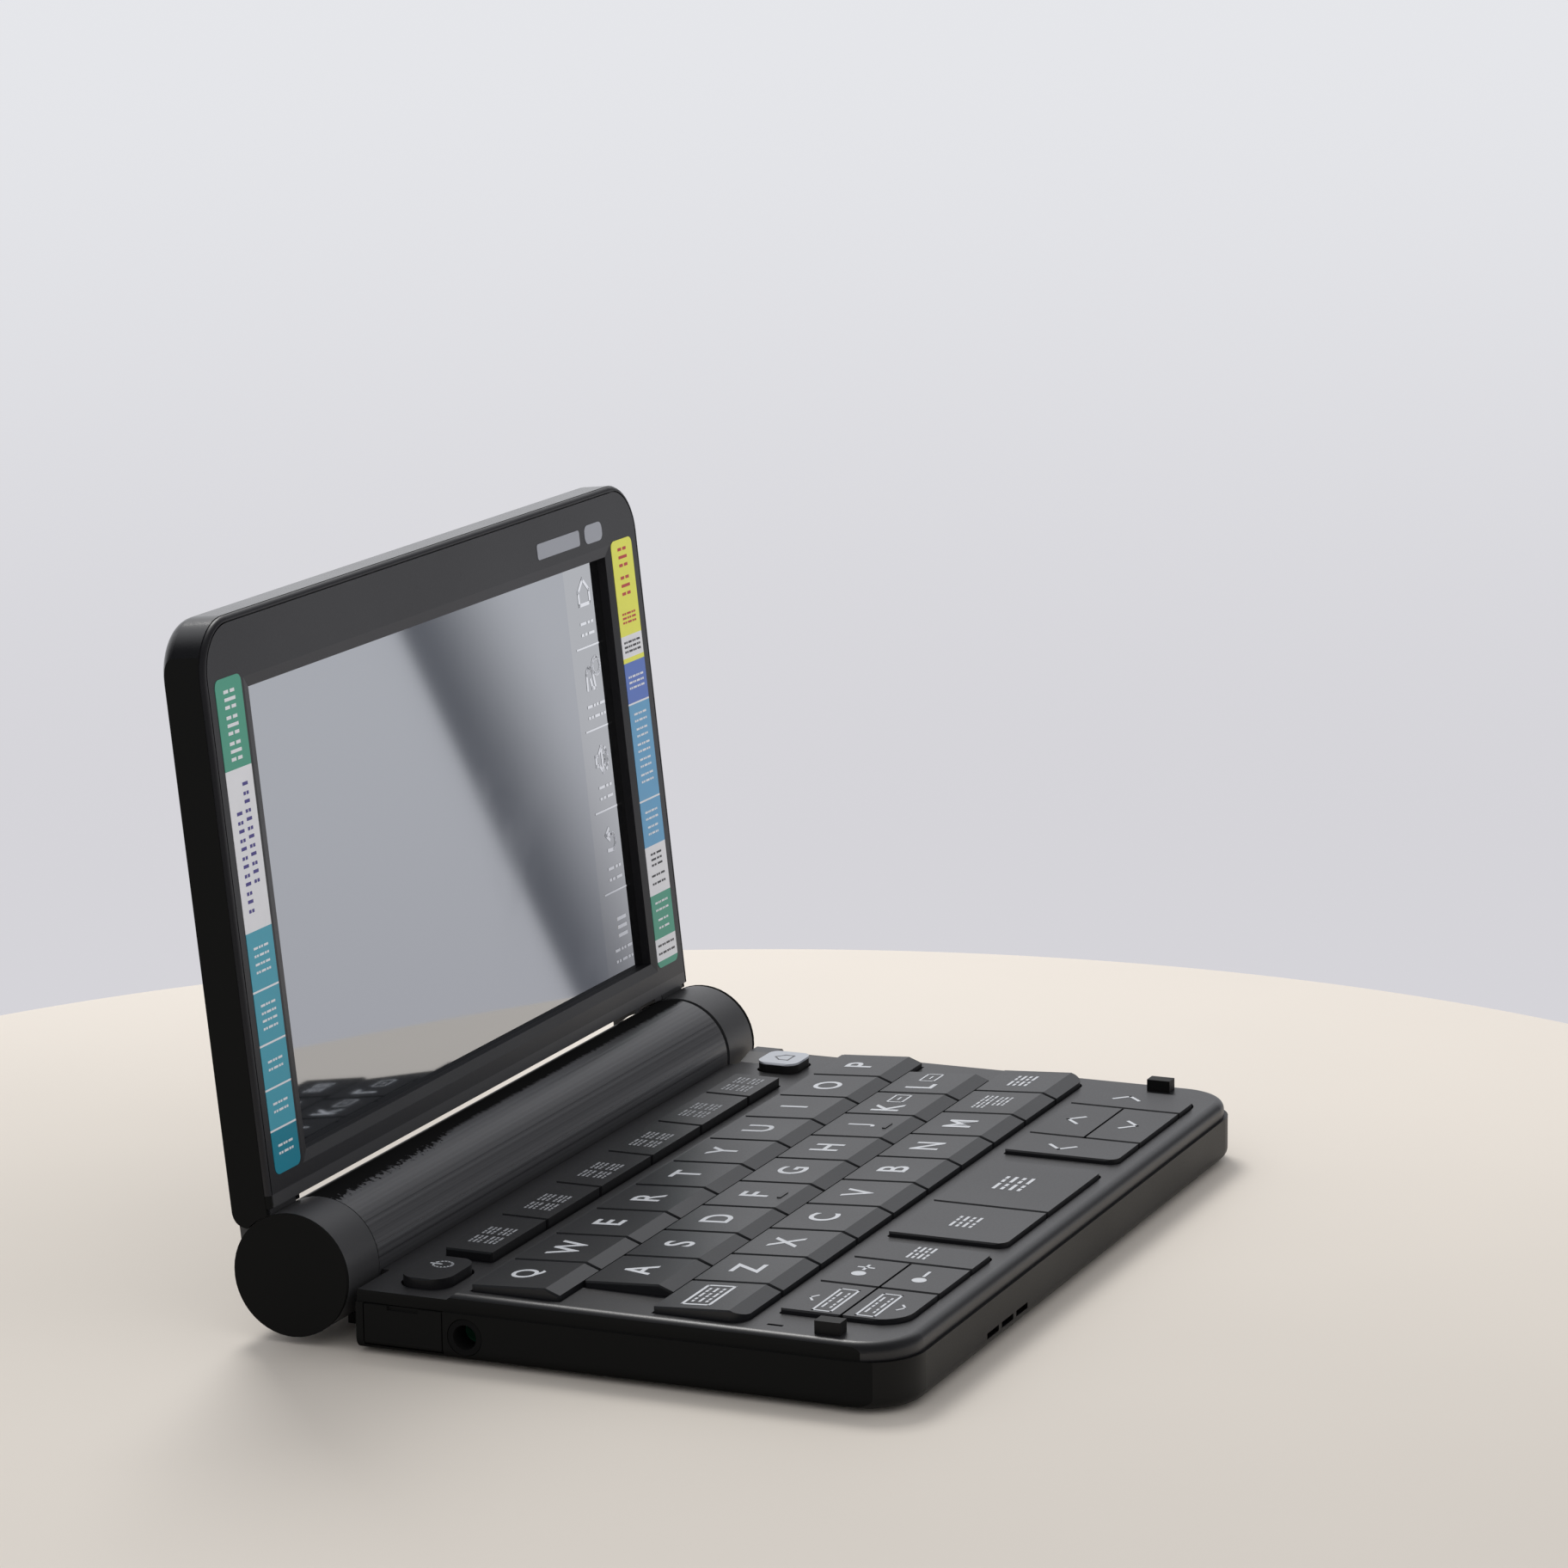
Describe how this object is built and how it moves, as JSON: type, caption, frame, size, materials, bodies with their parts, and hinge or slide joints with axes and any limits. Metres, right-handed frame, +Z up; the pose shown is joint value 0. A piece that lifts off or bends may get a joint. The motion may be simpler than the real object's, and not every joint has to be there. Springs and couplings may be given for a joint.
{
  "type": "electronic dictionary",
  "caption": "Clamshell pocket electronic dictionary with a touch screen in the lid, a small letter keyboard in the base and a round battery barrel along the hinge.",
  "frame": {"origin": "on the surface it stands on, midway between the sides and midway between the base's front edge and the rearmost point of the open lid", "axes": "+X to the user's right, +Y to the back, +Z up; the lid stands open at 96 degrees"},
  "size_m": [0.148, 0.1154, 0.1059],
  "materials": {
    "case_black": "fine spark texture",
    "deck_grey": "satin",
    "barrel_grey": "satin with fine lines along the barrel",
    "frame_grey": "satin",
    "cover_grey": "satin",
    "letter_key_grey": "satin",
    "front_key_grey": "satin",
    "strip_key_grey": "satin",
    "home_key_light": "satin",
    "pad_rubber": "matt",
    "mat_rubber": "matt silicone",
    "screw_steel": "dull",
    "pin_steel": "ground",
    "spring_steel": "nickel plated",
    "cell_metal": "plain jacket",
    "board_green": "soldermask",
    "speaker_black": "matt",
    "display_dark": "dark when off",
    "glass_clear": "polished"
  },
  "bodies": {
    "base": {"lower_case": "case_black", "upper_case": "deck_grey", "battery_barrel": "barrel_grey", "battery_cells": "cell_metal", "battery_contacts": "spring_steel", "hinge_pins": "pin_steel", "main_board": "board_green", "speaker": "speaker_black", "key_mat": "mat_rubber", "rubber_pads": "pad_rubber", "case_screws": "screw_steel"},
    "lid": {"lid_frame": "frame_grey", "lid_back_cover": "cover_grey", "touch_glass": "glass_clear", "display_module": "display_dark"},
    "battery_cover": {"battery_cover": "barrel_grey"},
    "port_cover": {"port_cover": "case_black"},
    "function_keys": {"function_keys": "strip_key_grey"},
    "key_power": {"key_power": "front_key_grey"},
    "key_home": {"key_home": "home_key_light"},
    "key_q": {"key_q": "letter_key_grey"},
    "key_w": {"key_w": "letter_key_grey"},
    "key_e": {"key_e": "letter_key_grey"},
    "key_r": {"key_r": "letter_key_grey"},
    "key_t": {"key_t": "letter_key_grey"},
    "key_y": {"key_y": "letter_key_grey"},
    "key_u": {"key_u": "letter_key_grey"},
    "key_i": {"key_i": "letter_key_grey"},
    "key_o": {"key_o": "letter_key_grey"},
    "key_p": {"key_p": "letter_key_grey"},
    "key_a": {"key_a": "letter_key_grey"},
    "key_s": {"key_s": "letter_key_grey"},
    "key_d": {"key_d": "letter_key_grey"},
    "key_f": {"key_f": "letter_key_grey"},
    "key_g": {"key_g": "letter_key_grey"},
    "key_h": {"key_h": "letter_key_grey"},
    "key_j": {"key_j": "letter_key_grey"},
    "key_k": {"key_k": "letter_key_grey"},
    "key_l": {"key_l": "letter_key_grey"},
    "key_shift": {"key_shift": "letter_key_grey"},
    "key_z": {"key_z": "letter_key_grey"},
    "key_x": {"key_x": "letter_key_grey"},
    "key_c": {"key_c": "letter_key_grey"},
    "key_v": {"key_v": "letter_key_grey"},
    "key_b": {"key_b": "letter_key_grey"},
    "key_n": {"key_n": "letter_key_grey"},
    "key_m": {"key_m": "letter_key_grey"},
    "key_space": {"key_space": "letter_key_grey"},
    "key_delete": {"key_delete": "letter_key_grey"},
    "key_page_up": {"key_page_up": "front_key_grey"},
    "key_page_down": {"key_page_down": "front_key_grey"},
    "key_size_up": {"key_size_up": "front_key_grey"},
    "key_size_down": {"key_size_down": "front_key_grey"},
    "key_jump": {"key_jump": "front_key_grey"},
    "key_back": {"key_back": "front_key_grey"},
    "key_enter": {"key_enter": "front_key_grey"},
    "key_left": {"key_left": "front_key_grey"},
    "key_up": {"key_up": "front_key_grey"},
    "key_down": {"key_down": "front_key_grey"},
    "key_right": {"key_right": "front_key_grey"}
  },
  "joints": [
    {"name": "lid_hinge", "type": "hinge", "parent": "base", "child": "lid", "pos_m": [0, 0.03852, 0.0104], "axis": [-1, 0, 0], "range_deg": [-96, 34]},
    {"name": "battery_cover_slide", "type": "slide", "parent": "base", "child": "battery_cover", "axis": [0, 1, 0], "range_m": [0, 0.03]},
    {"name": "port_cover_hinge", "type": "hinge", "parent": "base", "child": "port_cover", "pos_m": [-0.0734, 0.02032, 0.0021], "axis": [0, -1, 0], "range_deg": [0, 100]},
    {"name": "function_keys_press", "type": "slide", "parent": "base", "child": "function_keys", "axis": [0, 0, -1], "range_m": [0, 0.0008], "stiffness_N_per_m": 700},
    {"name": "key_power_press", "type": "slide", "parent": "base", "child": "key_power", "axis": [0, 0, -1], "range_m": [0, 0.0008], "stiffness_N_per_m": 700},
    {"name": "key_home_press", "type": "slide", "parent": "base", "child": "key_home", "axis": [0, 0, -1], "range_m": [0, 0.0008], "stiffness_N_per_m": 700},
    {"name": "key_q_press", "type": "slide", "parent": "base", "child": "key_q", "axis": [0, 0, -1], "range_m": [0, 0.0008], "stiffness_N_per_m": 700},
    {"name": "key_w_press", "type": "slide", "parent": "base", "child": "key_w", "axis": [0, 0, -1], "range_m": [0, 0.0008], "stiffness_N_per_m": 700},
    {"name": "key_e_press", "type": "slide", "parent": "base", "child": "key_e", "axis": [0, 0, -1], "range_m": [0, 0.0008], "stiffness_N_per_m": 700},
    {"name": "key_r_press", "type": "slide", "parent": "base", "child": "key_r", "axis": [0, 0, -1], "range_m": [0, 0.0008], "stiffness_N_per_m": 700},
    {"name": "key_t_press", "type": "slide", "parent": "base", "child": "key_t", "axis": [0, 0, -1], "range_m": [0, 0.0008], "stiffness_N_per_m": 700},
    {"name": "key_y_press", "type": "slide", "parent": "base", "child": "key_y", "axis": [0, 0, -1], "range_m": [0, 0.0008], "stiffness_N_per_m": 700},
    {"name": "key_u_press", "type": "slide", "parent": "base", "child": "key_u", "axis": [0, 0, -1], "range_m": [0, 0.0008], "stiffness_N_per_m": 700},
    {"name": "key_i_press", "type": "slide", "parent": "base", "child": "key_i", "axis": [0, 0, -1], "range_m": [0, 0.0008], "stiffness_N_per_m": 700},
    {"name": "key_o_press", "type": "slide", "parent": "base", "child": "key_o", "axis": [0, 0, -1], "range_m": [0, 0.0008], "stiffness_N_per_m": 700},
    {"name": "key_p_press", "type": "slide", "parent": "base", "child": "key_p", "axis": [0, 0, -1], "range_m": [0, 0.0008], "stiffness_N_per_m": 700},
    {"name": "key_a_press", "type": "slide", "parent": "base", "child": "key_a", "axis": [0, 0, -1], "range_m": [0, 0.0008], "stiffness_N_per_m": 700},
    {"name": "key_s_press", "type": "slide", "parent": "base", "child": "key_s", "axis": [0, 0, -1], "range_m": [0, 0.0008], "stiffness_N_per_m": 700},
    {"name": "key_d_press", "type": "slide", "parent": "base", "child": "key_d", "axis": [0, 0, -1], "range_m": [0, 0.0008], "stiffness_N_per_m": 700},
    {"name": "key_f_press", "type": "slide", "parent": "base", "child": "key_f", "axis": [0, 0, -1], "range_m": [0, 0.0008], "stiffness_N_per_m": 700},
    {"name": "key_g_press", "type": "slide", "parent": "base", "child": "key_g", "axis": [0, 0, -1], "range_m": [0, 0.0008], "stiffness_N_per_m": 700},
    {"name": "key_h_press", "type": "slide", "parent": "base", "child": "key_h", "axis": [0, 0, -1], "range_m": [0, 0.0008], "stiffness_N_per_m": 700},
    {"name": "key_j_press", "type": "slide", "parent": "base", "child": "key_j", "axis": [0, 0, -1], "range_m": [0, 0.0008], "stiffness_N_per_m": 700},
    {"name": "key_k_press", "type": "slide", "parent": "base", "child": "key_k", "axis": [0, 0, -1], "range_m": [0, 0.0008], "stiffness_N_per_m": 700},
    {"name": "key_l_press", "type": "slide", "parent": "base", "child": "key_l", "axis": [0, 0, -1], "range_m": [0, 0.0008], "stiffness_N_per_m": 700},
    {"name": "key_shift_press", "type": "slide", "parent": "base", "child": "key_shift", "axis": [0, 0, -1], "range_m": [0, 0.0008], "stiffness_N_per_m": 700},
    {"name": "key_z_press", "type": "slide", "parent": "base", "child": "key_z", "axis": [0, 0, -1], "range_m": [0, 0.0008], "stiffness_N_per_m": 700},
    {"name": "key_x_press", "type": "slide", "parent": "base", "child": "key_x", "axis": [0, 0, -1], "range_m": [0, 0.0008], "stiffness_N_per_m": 700},
    {"name": "key_c_press", "type": "slide", "parent": "base", "child": "key_c", "axis": [0, 0, -1], "range_m": [0, 0.0008], "stiffness_N_per_m": 700},
    {"name": "key_v_press", "type": "slide", "parent": "base", "child": "key_v", "axis": [0, 0, -1], "range_m": [0, 0.0008], "stiffness_N_per_m": 700},
    {"name": "key_b_press", "type": "slide", "parent": "base", "child": "key_b", "axis": [0, 0, -1], "range_m": [0, 0.0008], "stiffness_N_per_m": 700},
    {"name": "key_n_press", "type": "slide", "parent": "base", "child": "key_n", "axis": [0, 0, -1], "range_m": [0, 0.0008], "stiffness_N_per_m": 700},
    {"name": "key_m_press", "type": "slide", "parent": "base", "child": "key_m", "axis": [0, 0, -1], "range_m": [0, 0.0008], "stiffness_N_per_m": 700},
    {"name": "key_space_press", "type": "slide", "parent": "base", "child": "key_space", "axis": [0, 0, -1], "range_m": [0, 0.0008], "stiffness_N_per_m": 700},
    {"name": "key_delete_press", "type": "slide", "parent": "base", "child": "key_delete", "axis": [0, 0, -1], "range_m": [0, 0.0008], "stiffness_N_per_m": 700},
    {"name": "key_page_up_press", "type": "slide", "parent": "base", "child": "key_page_up", "axis": [0, 0, -1], "range_m": [0, 0.0008], "stiffness_N_per_m": 700},
    {"name": "key_page_down_press", "type": "slide", "parent": "base", "child": "key_page_down", "axis": [0, 0, -1], "range_m": [0, 0.0008], "stiffness_N_per_m": 700},
    {"name": "key_size_up_press", "type": "slide", "parent": "base", "child": "key_size_up", "axis": [0, 0, -1], "range_m": [0, 0.0008], "stiffness_N_per_m": 700},
    {"name": "key_size_down_press", "type": "slide", "parent": "base", "child": "key_size_down", "axis": [0, 0, -1], "range_m": [0, 0.0008], "stiffness_N_per_m": 700},
    {"name": "key_jump_press", "type": "slide", "parent": "base", "child": "key_jump", "axis": [0, 0, -1], "range_m": [0, 0.0008], "stiffness_N_per_m": 700},
    {"name": "key_back_press", "type": "slide", "parent": "base", "child": "key_back", "axis": [0, 0, -1], "range_m": [0, 0.0008], "stiffness_N_per_m": 700},
    {"name": "key_enter_press", "type": "slide", "parent": "base", "child": "key_enter", "axis": [0, 0, -1], "range_m": [0, 0.0008], "stiffness_N_per_m": 700},
    {"name": "key_left_press", "type": "slide", "parent": "base", "child": "key_left", "axis": [0, 0, -1], "range_m": [0, 0.0008], "stiffness_N_per_m": 700},
    {"name": "key_up_press", "type": "slide", "parent": "base", "child": "key_up", "axis": [0, 0, -1], "range_m": [0, 0.0008], "stiffness_N_per_m": 700},
    {"name": "key_down_press", "type": "slide", "parent": "base", "child": "key_down", "axis": [0, 0, -1], "range_m": [0, 0.0008], "stiffness_N_per_m": 700},
    {"name": "key_right_press", "type": "slide", "parent": "base", "child": "key_right", "axis": [0, 0, -1], "range_m": [0, 0.0008], "stiffness_N_per_m": 700}
  ]
}
